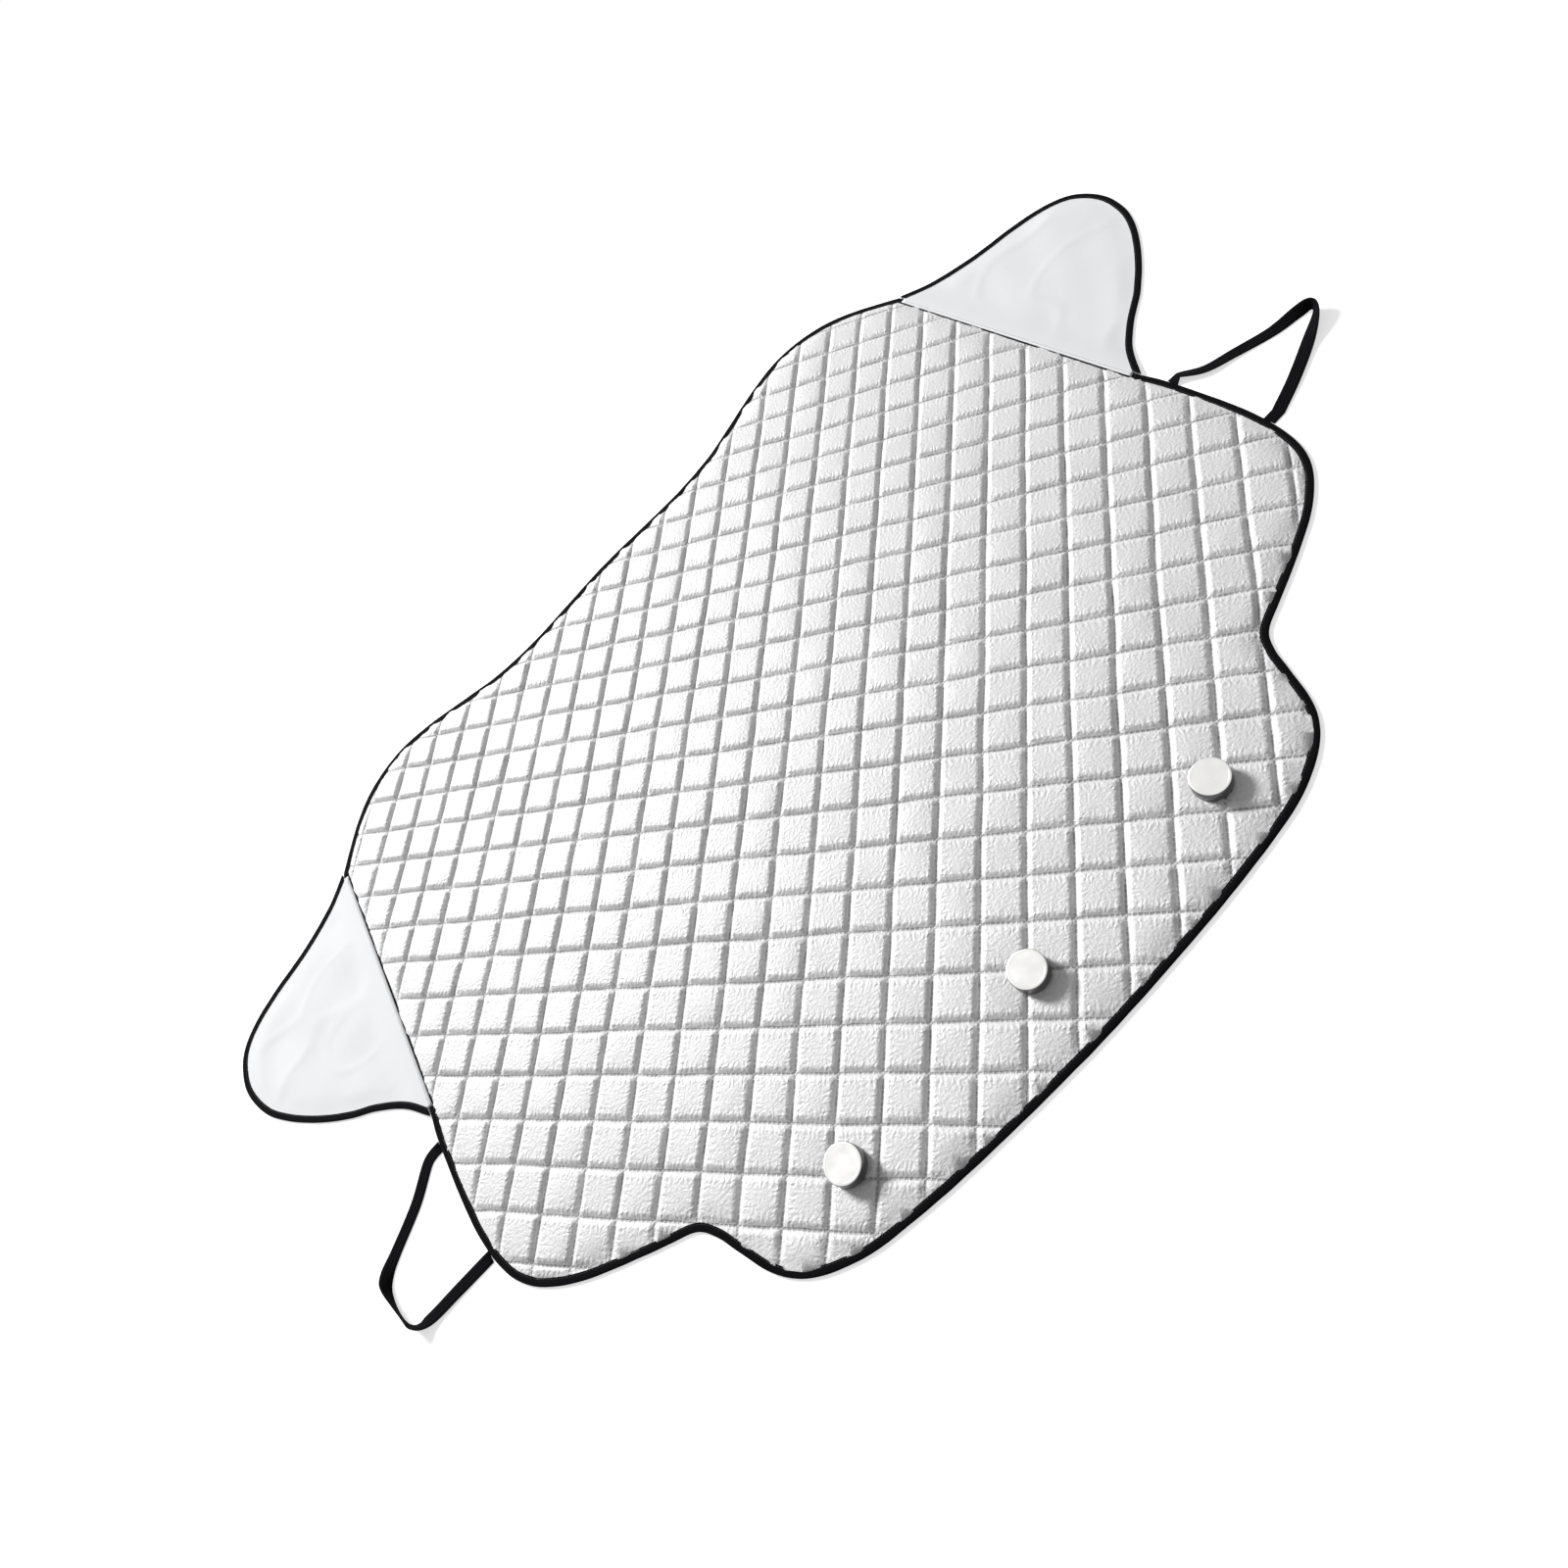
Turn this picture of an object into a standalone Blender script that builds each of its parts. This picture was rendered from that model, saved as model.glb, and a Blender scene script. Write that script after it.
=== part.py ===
"""Windshield frost cover, lying flat with its foil face up.

A quilted foil pad with a taped edge, two plain wing flaps that shut in the front doors, two elastic loops for the
door mirrors and three disc magnets along the lower edge. Metres, +Z up, +X across the car, +Y up the glass, origin
under the middle of the cover.
"""

import math

import bmesh
import bpy
import numpy as np
from mathutils import Matrix

# Plan of the right half, measured from the middle of the lower edge: x across the car, y up the glass
LOWER_EDGE = (
    (0.000, 0.000),
    (0.181, 0.006),
    (0.290, 0.016),
    (0.345, 0.026),
    (0.396, 0.047),
    (0.4245, 0.070),
    (0.4415, 0.096),
    (0.4570, 0.136),
    (0.4680, 0.165),
    (0.4860, 0.188),
    (0.5250, 0.204),
    (0.5800, 0.226),
    (0.6330, 0.250),
    (0.6720, 0.275),
    (0.7000, 0.303),
    (0.7180, 0.340),
    (0.7265, 0.390),
    (0.7275, 0.450),
    (0.7200, 0.550),
    (0.7130, 0.592),
)
UPPER_EDGE = (
    (0.6640, 1.080),
    (0.6356, 1.111),
    (0.6000, 1.146),
    (0.5580, 1.176),
    (0.5080, 1.194),
    (0.4550, 1.199),
    (0.3900, 1.188),
    (0.3170, 1.167),
    (0.2500, 1.150),
    (0.1700, 1.144),
    (0.0850, 1.148),
    (0.0000, 1.152),
)
WING_EDGE = (
    (0.6640, 1.080),
    (0.6900, 1.063),
    (0.7280, 1.043),
    (0.7850, 1.021),
    (0.8600, 1.002),
    (0.9120, 0.982),
    (0.9450, 0.956),
    (0.9610, 0.920),
    (0.9630, 0.880),
    (0.9500, 0.834),
    (0.9240, 0.792),
    (0.8800, 0.744),
    (0.8300, 0.702),
    (0.7850, 0.673),
    (0.7450, 0.638),
    (0.7130, 0.592),
)
POINTS_PER_SPAN = 3

# Gap between pieces that touch on the real cover
CLEARANCE = 0.0003

# Quilting: square pillows set at 45 degrees, welded together along narrow valleys
QUILT_PITCH = 0.0566
QUILT_CROSSING_Y = 0.194
PILLOW_SHOULDER = 0.011
VALLEY_Z = 0.0031
PILLOW_RISE = 0.0042
EDGE_FADE = 0.018

# Edge tape, folded over the flattened rim of the pad
TAPE_THICKNESS = 0.0007
TAPE_LEG = 0.009
RIM_THICKNESS = 0.0016

# Wing flaps: a single cloth, lapped over the pad's tape and bound along its free edge
CLOTH_THICKNESS = 0.0010
WING_LAP = 0.007
WING_RAMP = 0.045
WING_TAPE_GAP = 0.0015
RAMP_FOLDS = 9

# Elastic mirror loops: flat bands that twist on edge at the far turn. Each point is x, y and the twist in degrees
BAND_WIDTH = 0.018
BAND_THICKNESS = 0.0012
RIGHT_LOOP = (
    (0.735, 0.544, -26),
    (0.760, 0.519, -14),
    (0.800, 0.5025, -4),
    (0.850, 0.482, 4),
    (0.886, 0.472, 30),
    (0.902, 0.461, 78),
    (0.890, 0.447, 50),
    (0.850, 0.4275, 10),
    (0.795, 0.4045, 4),
    (0.746, 0.388, 0),
)
LEFT_LOOP = (
    (0.735, 0.546, 0),
    (0.751, 0.540, 2),
    (0.7895, 0.508, 2),
    (0.843, 0.477, 4),
    (0.863, 0.461, 30),
    (0.8705, 0.440, 80),
    (0.869, 0.412, 106),
    (0.863, 0.387, 104),
    (0.853, 0.372, 64),
    (0.834, 0.3672, 12),
    (0.785, 0.3675, 2),
    (0.742, 0.3675, 0),
)

# Disc magnets
MAGNET_DIAMETER = 0.048
MAGNET_HEIGHT = 0.018
MAGNET_BEVEL = 0.0016
MAGNET_SPACING = 0.297
MAGNET_Y = 0.107
MAGNET_SEAT_Z = 0.0052

FOIL = (0.82, 0.82, 0.83)
WING_CLOTH = (0.86, 0.88, 0.91)
BLACK_TAPE = (0.012, 0.012, 0.013)
NICKEL = (0.78, 0.77, 0.75)

RIM_LOW_Z = TAPE_THICKNESS + CLEARANCE
RIM_HIGH_Z = RIM_LOW_Z + RIM_THICKNESS
TAPE_TOP_Z = RIM_HIGH_Z + CLEARANCE + TAPE_THICKNESS
CLOTH_FLAT_Z = TAPE_THICKNESS + CLEARANCE
CLOTH_LAP_Z = TAPE_TOP_Z + CLEARANCE
TAPE_REACH = CLEARANCE + TAPE_THICKNESS
CUTTER_MARGIN = 0.02


def smooth_line(points, closed=False):
    """Points on a Catmull-Rom curve through the given ones."""
    known = np.array(points, float)
    if closed:
        padded = np.vstack([known[-1:], known, known[:2]])
    else:
        padded = np.vstack([2 * known[0] - known[1], known, 2 * known[-1] - known[-2]])
    steps = np.arange(POINTS_PER_SPAN)[:, None] / POINTS_PER_SPAN
    spans = []
    for a, b, c, d in zip(padded, padded[1:], padded[2:], padded[3:]):
        spans.append(
            b
            + 0.5 * steps * (c - a)
            + steps**2 * (a - 2.5 * b + 2 * c - 0.5 * d)
            + 0.5 * steps**3 * (3 * b - a - 3 * c + d)
        )
    line = np.vstack(spans)
    return line if closed else np.vstack([line, known[-1:]])


def mirrored(points):
    """The same points on the other side of the cover's middle."""
    return np.array(points) * (-1, 1)


def half_of(right_half):
    """A whole smooth edge from its right half, which begins or ends on the middle."""
    points = np.array(right_half, float)
    starts_in_middle = abs(points[0, 0]) < abs(points[-1, 0])
    if starts_in_middle:
        return smooth_line(np.vstack([mirrored(points[:0:-1]), points]))
    return smooth_line(np.vstack([points, mirrored(points[-2::-1])]))


def pad_outline():
    """The pad's edge, anticlockwise from the left wing's lower corner, about the cover's own centre."""
    lower = half_of(LOWER_EDGE)
    upper = half_of(UPPER_EDGE)
    root_steps = 5
    share = np.arange(1, root_steps)[:, None] / root_steps
    right_root = lower[-1] + share * (upper[0] - lower[-1])
    left_root = mirrored(right_root[::-1])
    return np.vstack([lower, right_root, upper, left_root]) - plan_centre()


def plan_centre():
    """The middle of the cover's plan, from the middle of its lower edge."""
    lower = half_of(LOWER_EDGE)
    upper = half_of(UPPER_EDGE)
    return np.array((0.0, (lower[:, 1].min() + upper[:, 1].max()) / 2))


def outward_normals(line, closed):
    """Unit normals to the right of the direction of travel, halfway between those of the spans on either side."""
    spans = np.roll(line, -1, 0) - line
    if not closed:
        spans[-1] = spans[-2]
    spans /= np.linalg.norm(spans, axis=1)[:, None]
    before = np.roll(spans, 1, 0)
    if not closed:
        before[0] = spans[0]
    along = spans + before
    along /= np.linalg.norm(along, axis=1)[:, None]
    return np.c_[along[:, 1], -along[:, 0]]


def offset(line, distance, closed=True):
    return line + distance * outward_normals(line, closed)


def distance_to(line, points):
    """Shortest distance from each point to the closed line."""
    start = line
    run = np.roll(line, -1, 0) - line
    nearest = np.full(len(points), np.inf)
    for a, r in zip(start, run):
        share = np.clip((points - a) @ r / (r @ r), 0, 1)
        nearest = np.minimum(nearest, np.linalg.norm(points - a - share[:, None] * r, axis=1))
    return nearest


def material(name, colour, roughness, metallic):
    made = bpy.data.materials.new(name)
    made.use_nodes = True
    shader = made.node_tree.nodes["Principled BSDF"]
    shader.inputs["Base Color"].default_value = (*colour, 1)
    shader.inputs["Roughness"].default_value = roughness
    shader.inputs["Metallic"].default_value = metallic
    return made


def new_collection(name, shown=True):
    made = bpy.data.collections.new(name)
    bpy.context.scene.collection.children.link(made)
    made.hide_render = not shown
    return made


def object_from(name, mesh, collection, finish=None):
    made = bpy.data.objects.new(name, mesh)
    collection.objects.link(made)
    if finish:
        made.data.materials.append(finish)
    return made


def solid_from_curve(curve_object, collection, finish=None):
    """The curve's solid as a mesh object of the same name, with its caps welded on."""
    bpy.context.view_layer.update()
    graph = bpy.context.evaluated_depsgraph_get()
    mesh = bpy.data.meshes.new_from_object(curve_object.evaluated_get(graph))
    name = curve_object.name
    place = curve_object.matrix_world.copy()
    bpy.data.objects.remove(curve_object)
    body = bmesh.new()
    body.from_mesh(mesh)
    bmesh.ops.remove_doubles(body, verts=body.verts, dist=1e-6)
    bmesh.ops.recalc_face_normals(body, faces=body.faces)
    body.to_mesh(mesh)
    body.free()
    made = object_from(name, mesh, collection, finish)
    made.matrix_world = place
    return made


def curve_object(name, points, collection, closed, flat):
    """A curve with straight spans through the points, which are x, y or x, y, z."""
    data = bpy.data.curves.new(name, "CURVE")
    data.dimensions = "2D" if flat else "3D"
    spline = data.splines.new("POLY")
    spline.points.add(len(points) - 1)
    for point, place in zip(spline.points, points):
        height = place[2] if len(place) > 2 else 0.0
        point.co = (place[0], place[1], height, 1)
    spline.use_cyclic_u = closed
    made = bpy.data.objects.new(name, data)
    collection.objects.link(made)
    return made


def plate(name, outline, low, high, collection):
    """The outline as a flat plate between two heights."""
    made = curve_object(name, outline, collection, closed=True, flat=True)
    made.data.fill_mode = "BOTH"
    made.data.extrude = (high - low) / 2
    made.location.z = (high + low) / 2
    return solid_from_curve(made, collection)


def quilt_block(name, collection):
    """A block over the whole plan with a quilted top: pillows in a grid turned 45 degrees, over a flat back at z = 0."""
    outline = pad_outline()
    half_span = (outline[:, 0].max() + outline[:, 1].max()) / math.sqrt(2)
    pitches = 2 * math.ceil(half_span / QUILT_PITCH) + 2
    size = pitches * QUILT_PITCH / 2
    body = bmesh.new()
    bmesh.ops.create_grid(body, x_segments=pitches, y_segments=pitches, size=size)
    in_valley = set(body.verts)
    bmesh.ops.inset_individual(body, faces=body.faces, thickness=PILLOW_SHOULDER)
    turn = Matrix.Rotation(math.radians(45), 3, "Z")
    bmesh.ops.rotate(body, cent=(0, 0, 0), matrix=turn, verts=body.verts)
    crossings_apart = QUILT_PITCH * math.sqrt(2)
    crossing_y = math.remainder(QUILT_CROSSING_Y - plan_centre()[1], crossings_apart)
    bmesh.ops.translate(body, vec=(0.0, crossing_y, 0.0), verts=body.verts)
    places = np.array([vertex.co[:2] for vertex in body.verts])
    for vertex, distance in zip(body.verts, distance_to(outline, places)):
        vertex.co.z = foil_height(vertex in in_valley, distance)
    rim = [edge for edge in body.edges if edge.is_boundary]
    walls = bmesh.ops.extrude_edge_only(body, edges=rim)["geom"]
    for item in walls:
        if isinstance(item, bmesh.types.BMVert):
            item.co.z = 0.0
    back_edges = [edge for edge in body.edges if edge.is_boundary]
    bmesh.ops.contextual_create(body, geom=back_edges)
    bmesh.ops.triangulate(body, faces=body.faces)
    bmesh.ops.recalc_face_normals(body, faces=body.faces)
    mesh = bpy.data.meshes.new(name)
    body.to_mesh(mesh)
    body.free()
    return object_from(name, mesh, collection)


def foil_height(on_valley, edge_distance):
    """Foil face: flat-topped pillows between valleys, fading out towards the taped edge."""
    share = min(max((edge_distance - TAPE_LEG) / EDGE_FADE, 0.0), 1.0)
    fade = share * share * (3 - 2 * share)
    return VALLEY_Z if on_valley else VALLEY_Z + PILLOW_RISE * fade


def add_boolean(target, other, operation):
    modifier = target.modifiers.new(f"{operation.lower()}_{other.name}", "BOOLEAN")
    modifier.operation = operation
    modifier.solver = "EXACT"
    modifier.object = other


def as_cutter(other):
    other.hide_render = True
    other.display_type = "WIRE"
    return other


def magnet_places():
    height = MAGNET_Y - plan_centre()[1]
    return {
        "magnet_left": (-MAGNET_SPACING, height),
        "magnet_middle": (0.0, height),
        "magnet_right": (MAGNET_SPACING, height),
    }


def disc(name, diameter, low, high, place, collection):
    body = bmesh.new()
    bmesh.ops.create_cone(
        body,
        cap_ends=True,
        segments=48,
        radius1=diameter / 2,
        radius2=diameter / 2,
        depth=high - low,
    )
    mesh = bpy.data.meshes.new(name)
    body.to_mesh(mesh)
    body.free()
    made = object_from(name, mesh, collection)
    made.location = (*place, (high + low) / 2)
    return made


def build_pad(parts, cutters, finish):
    outline = pad_outline()
    pad = quilt_block("quilted_pad", parts)
    inside_tape = offset(outline, -(TAPE_LEG + CLEARANCE))
    puffed = as_cutter(plate("puffed_area", inside_tape, -2 * CUTTER_MARGIN, 2 * CUTTER_MARGIN, cutters))
    rim = as_cutter(plate("flattened_rim", outline, RIM_LOW_Z, RIM_HIGH_Z, cutters))
    add_boolean(pad, puffed, "INTERSECT")
    add_boolean(pad, rim, "UNION")
    for name, place in magnet_places().items():
        seat_width = MAGNET_DIAMETER + 2 * CLEARANCE
        seat = as_cutter(disc(f"seat_of_{name}", seat_width, MAGNET_SEAT_Z, CUTTER_MARGIN, place, cutters))
        add_boolean(pad, seat, "DIFFERENCE")
    pad.data.materials.append(finish)
    return pad


def tape_section(name, slot_height, collection):
    """Section of the folded tape: x outward from the bound edge, y up from the middle of what it binds."""
    slot = slot_height / 2 + CLEARANCE
    outside = slot + TAPE_THICKNESS
    corners = (
        (-TAPE_LEG, outside),
        (-TAPE_LEG, slot),
        (CLEARANCE, slot),
        (CLEARANCE, -slot),
        (-TAPE_LEG, -slot),
        (-TAPE_LEG, -outside),
        (TAPE_REACH, -outside),
        (TAPE_REACH, outside),
    )
    made = curve_object(name, corners, collection, closed=True, flat=True)
    made.hide_render = True
    return made


def tape_along(name, line, section, closed, parts, finish):
    """Folded tape swept along the edge that it binds."""
    made = curve_object(name, line, parts, closed=closed, flat=False)
    made.data.twist_mode = "Z_UP"
    made.data.bevel_mode = "OBJECT"
    made.data.bevel_object = section
    made.data.use_fill_caps = not closed
    return solid_from_curve(made, parts, finish)


def root_frame(side):
    """Start of the wing's root line on the pad's edge, its direction and the direction out along the wing."""
    centre = plan_centre()
    low = np.array(LOWER_EDGE[-1]) - centre
    high = np.array(UPPER_EDGE[0]) - centre
    if side < 0:
        low, high = low * (-1, 1), high * (-1, 1)
    along = (high - low) / np.linalg.norm(high - low)
    out = np.array((along[1], -along[0])) * side
    return low, along, out


def cloth_height(distance_out):
    """Underside of the wing cloth, from its lap over the pad's tape down to the level it lies at."""
    share = min(max(1 - (distance_out - TAPE_REACH - CLEARANCE) / WING_RAMP, 0.0), 1.0)
    ease = share * share * (3 - 2 * share)
    return CLOTH_FLAT_Z + (CLOTH_LAP_Z - CLOTH_FLAT_Z) * ease


def wing_line(side):
    """The wing's free edge, from its upper end on the pad to its lower end."""
    line = smooth_line(WING_EDGE) - plan_centre()
    return line if side > 0 else line * (-1, 1)


def from_reach(line, reach, start):
    """The stretch of the line that lies further out than start, cut exactly there at both ends."""
    kept = np.nonzero(reach > start)[0]
    ends = []
    for last, beyond in ((kept[0], kept[0] - 1), (kept[-1], kept[-1] + 1)):
        share = (reach[last] - start) / (reach[last] - reach[beyond])
        ends.append(line[last] + share * (line[beyond] - line[last]))
    return np.vstack([ends[0], line[kept], ends[1]])


def build_wing(name, side, parts, cutters, finish):
    """A folded cloth cut to the wing's outline."""
    low, along, out = root_frame(side)
    edge = wing_line(side)
    reach = (edge - low) @ out
    fold = [-WING_LAP - CUTTER_MARGIN]
    fold += list(np.linspace(TAPE_REACH + CLEARANCE, TAPE_REACH + CLEARANCE + WING_RAMP, RAMP_FOLDS + 1))
    fold += [reach.max() + CUTTER_MARGIN]
    ends = (-CUTTER_MARGIN, np.linalg.norm(edge[0] - edge[-1]) + CUTTER_MARGIN)
    body = bmesh.new()
    previous = None
    for distance in fold:
        row = []
        for end in ends:
            plan = low + along * end + out * distance
            row.append(body.verts.new((*plan, cloth_height(distance))))
        if previous:
            body.faces.new((previous[0], row[0], row[1], previous[1]))
        previous = row
    bmesh.ops.recalc_face_normals(body, faces=body.faces)
    upward = sum(face.normal.z for face in body.faces)
    if upward < 0:
        bmesh.ops.reverse_faces(body, faces=body.faces)
    mesh = bpy.data.meshes.new(name)
    body.to_mesh(mesh)
    body.free()
    wing = object_from(name, mesh, parts, finish)
    thickness = wing.modifiers.new("cloth_thickness", "SOLIDIFY")
    thickness.thickness = CLOTH_THICKNESS
    thickness.offset = 1.0
    lap = -WING_LAP * out
    outline = np.vstack([edge, edge[-1] + lap, edge[0] + lap])
    cut = as_cutter(plate(f"outline_of_{name}", outline, -CUTTER_MARGIN, CUTTER_MARGIN, cutters))
    add_boolean(wing, cut, "INTERSECT")
    return wing


def build_wing_tape(name, side, parts, finish):
    """Folded tape along the wing's free edge, which rises with the cloth towards the pad."""
    low, _, out = root_frame(side)
    line = wing_line(side)
    start = TAPE_REACH + WING_TAPE_GAP
    line = from_reach(line, (line - low) @ out, start)
    outward = outward_normals(line, False) * -side
    slot = CLOTH_THICKNESS / 2 + CLEARANCE
    outside = slot + TAPE_THICKNESS
    section = (
        (-TAPE_LEG, outside),
        (-TAPE_LEG, slot),
        (-TAPE_LEG / 2, slot),
        (CLEARANCE, slot),
        (CLEARANCE, -slot),
        (-TAPE_LEG / 2, -slot),
        (-TAPE_LEG, -slot),
        (-TAPE_LEG, -outside),
        (-TAPE_LEG / 2, -outside),
        (TAPE_REACH, -outside),
        (TAPE_REACH, outside),
        (-TAPE_LEG / 2, outside),
    )
    offsets = np.array(section)[:, :1]
    plans = [place + normal * offsets for place, normal in zip(line, outward)]
    headings = np.gradient(line, axis=0)
    for corners, heading in zip(plans, headings):
        short = np.maximum(start - (corners - low) @ out, 0)
        corners += (short / (heading @ out))[:, None] * heading
    body = bmesh.new()
    rings = []
    for corners in plans:
        ring = []
        for plan, (_, rise) in zip(corners, section):
            middle = cloth_height((plan - low) @ out) + CLOTH_THICKNESS / 2
            ring.append(body.verts.new((*plan, middle + rise)))
        rings.append(ring)
    for ring, following in zip(rings, rings[1:]):
        for index in range(len(section)):
            after = (index + 1) % len(section)
            body.faces.new((ring[index], ring[after], following[after], following[index]))
    for ring in (rings[0], rings[-1]):
        body.faces.new(ring)
    bmesh.ops.remove_doubles(body, verts=body.verts, dist=1e-5)
    bmesh.ops.triangulate(body, faces=body.faces)
    bmesh.ops.recalc_face_normals(body, faces=body.faces)
    mesh = bpy.data.meshes.new(name)
    body.to_mesh(mesh)
    body.free()
    return object_from(name, mesh, parts, finish)


def build_loop(name, side, plan, parts, cutters, finish):
    """A flat elastic band from the pad's edge, round its far turn and back."""
    centre = plan_centre()
    outline = pad_outline()
    points = [np.array(point, float) for point in plan]
    anchors = []
    for end in (points[0], points[-1]):
        height = end[1] - centre[1]
        right_side = outline[(outline[:, 0] > 0) & (abs(outline[:, 1] - height) < 0.1)]
        order = np.argsort(right_side[:, 1])
        across = height + np.array((-0.5, 0, 0.5)) * BAND_WIDTH
        edge_x = np.interp(across, right_side[order, 1], right_side[order, 0]).max()
        anchors.append(np.array((edge_x + TAPE_REACH + 1.5 * CLEARANCE, end[1], 0.0)))
    line = np.vstack([anchors[0], smooth_line(points), anchors[1]])
    twist = np.radians(line[:, 2])
    width_up = BAND_WIDTH / 2 * abs(np.sin(twist))
    thickness_up = BAND_THICKNESS / 2 * abs(np.cos(twist))
    path = np.c_[side * line[:, 0], line[:, 1] - centre[1], width_up + thickness_up]
    half_width, half_thickness = BAND_WIDTH / 2, BAND_THICKNESS / 2
    corners = (
        (-half_width, -half_thickness),
        (half_width, -half_thickness),
        (half_width, half_thickness),
        (-half_width, half_thickness),
    )
    section = curve_object(f"section_of_{name}", corners, cutters, closed=True, flat=True)
    section.hide_render = True
    made = curve_object(name, path, parts, closed=False, flat=False)
    for point, angle in zip(made.data.splines[0].points, twist):
        point.tilt = angle * side
    made.data.twist_mode = "Z_UP"
    made.data.bevel_mode = "OBJECT"
    made.data.bevel_object = section
    made.data.use_fill_caps = True
    return solid_from_curve(made, parts, finish)


def build_magnet(name, place, parts, finish):
    base = MAGNET_SEAT_Z + CLEARANCE
    magnet = disc(name, MAGNET_DIAMETER, base, base + MAGNET_HEIGHT, place, parts)
    magnet.data.materials.append(finish)
    edge = magnet.modifiers.new("edge", "BEVEL")
    edge.width = MAGNET_BEVEL
    edge.segments = 2
    edge.limit_method = "ANGLE"
    edge.angle_limit = math.radians(60)
    magnet.data.shade_smooth()
    magnet.data.set_sharp_from_angle(angle=math.radians(35))
    return magnet


def main():
    for old in list(bpy.data.objects):
        bpy.data.objects.remove(old)
    parts = new_collection("windshield_frost_cover")
    cutters = new_collection("cutters_and_sections", shown=False)
    foil = material("quilted_foil", FOIL, 0.32, 0.85)
    cloth = material("wing_cloth", WING_CLOTH, 0.5, 0.3)
    tape = material("black_tape", BLACK_TAPE, 0.8, 0.0)
    band = material("black_elastic", BLACK_TAPE, 0.85, 0.0)
    nickel = material("nickel_plate", NICKEL, 0.25, 1.0)

    build_pad(parts, cutters, foil)
    pad_edge = pad_outline()
    rim_middle = (RIM_LOW_Z + RIM_HIGH_Z) / 2
    pad_section = tape_section("section_of_pad_edge_tape", RIM_THICKNESS, cutters)
    pad_path = np.c_[pad_edge, np.full(len(pad_edge), rim_middle)]
    tape_along("pad_edge_tape", pad_path, pad_section, True, parts, tape)
    for side, word in ((-1, "left"), (1, "right")):
        build_wing(f"wing_flap_{word}", side, parts, cutters, cloth)
        build_wing_tape(f"wing_edge_tape_{word}", side, parts, tape)
    build_loop("mirror_loop_left", -1, LEFT_LOOP, parts, cutters, band)
    build_loop("mirror_loop_right", 1, RIGHT_LOOP, parts, cutters, band)
    for name, place in magnet_places().items():
        build_magnet(name, place, parts, nickel)
    for helper in cutters.objects:
        helper.hide_render = True


main()
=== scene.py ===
"""Windshield frost cover laid flat: quilted foil pad, plain silver wings, black binding, elastic
mirror loops and disc magnets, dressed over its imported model."""

import math

import bmesh
import bpy
import numpy as np
from mathutils import Matrix, Vector


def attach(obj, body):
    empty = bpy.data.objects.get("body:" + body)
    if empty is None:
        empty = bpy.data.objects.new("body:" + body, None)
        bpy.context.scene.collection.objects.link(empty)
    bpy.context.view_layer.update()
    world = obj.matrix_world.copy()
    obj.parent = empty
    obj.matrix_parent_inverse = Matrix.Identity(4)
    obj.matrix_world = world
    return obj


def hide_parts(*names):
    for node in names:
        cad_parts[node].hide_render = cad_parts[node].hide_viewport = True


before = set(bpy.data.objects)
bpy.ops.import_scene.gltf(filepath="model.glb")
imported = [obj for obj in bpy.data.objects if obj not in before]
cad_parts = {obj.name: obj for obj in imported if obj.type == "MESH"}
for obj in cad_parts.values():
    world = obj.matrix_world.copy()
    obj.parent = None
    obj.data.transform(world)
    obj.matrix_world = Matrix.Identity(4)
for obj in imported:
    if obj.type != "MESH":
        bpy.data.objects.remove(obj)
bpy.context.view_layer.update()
ROOT = "root"

# Plan of the right half, from the middle of the lower edge, as the solids have it
LOWER_EDGE = (
    (0.000, 0.000),
    (0.181, 0.006),
    (0.290, 0.016),
    (0.345, 0.026),
    (0.396, 0.047),
    (0.4245, 0.070),
    (0.4415, 0.096),
    (0.4570, 0.136),
    (0.4680, 0.165),
    (0.4860, 0.188),
    (0.5250, 0.204),
    (0.5800, 0.226),
    (0.6330, 0.250),
    (0.6720, 0.275),
    (0.7000, 0.303),
    (0.7180, 0.340),
    (0.7265, 0.390),
    (0.7275, 0.450),
    (0.7200, 0.550),
    (0.7130, 0.592),
)
UPPER_EDGE = (
    (0.6640, 1.080),
    (0.6356, 1.111),
    (0.6000, 1.146),
    (0.5580, 1.176),
    (0.5080, 1.194),
    (0.4550, 1.199),
    (0.3900, 1.188),
    (0.3170, 1.167),
    (0.2500, 1.150),
    (0.1700, 1.144),
    (0.0850, 1.148),
    (0.0000, 1.152),
)
WING_EDGE = (
    (0.6640, 1.080),
    (0.6900, 1.063),
    (0.7280, 1.043),
    (0.7850, 1.021),
    (0.8600, 1.002),
    (0.9120, 0.982),
    (0.9450, 0.956),
    (0.9610, 0.920),
    (0.9630, 0.880),
    (0.9500, 0.834),
    (0.9240, 0.792),
    (0.8800, 0.744),
    (0.8300, 0.702),
    (0.7850, 0.673),
    (0.7450, 0.638),
    (0.7130, 0.592),
)
POINTS_PER_SPAN = 8
ROOT_LINE_STEPS = 80
WAVES_IN_RIPPLE = 9

SAME_PLACE = 1e-6
CLEARANCE = 0.0003
QUILT_PITCH = 0.0566
QUILT_CROSSING_Y = 0.194
VALLEY_Z = 0.0023
PILLOW_RISE = 0.0054
EDGE_FADE = 0.015
TAPE_THICKNESS = 0.0007
TAPE_LEG = 0.009
RIM_THICKNESS = 0.0016
CLOTH_THICKNESS = 0.0010
WING_LAP = 0.007
WING_RAMP = 0.045
WING_TAPE_GAP = 0.0004
WING_NOTCH = 0.010
WING_MESH_STEP = 0.006
WING_WAVE_RISE = 0.0009
WING_CREASE_RISE = 0.0005
TAPE_STEP = 0.005
TAPE_WOBBLE = 0.00022
TAPE_PUCKER = 0.06
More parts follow.
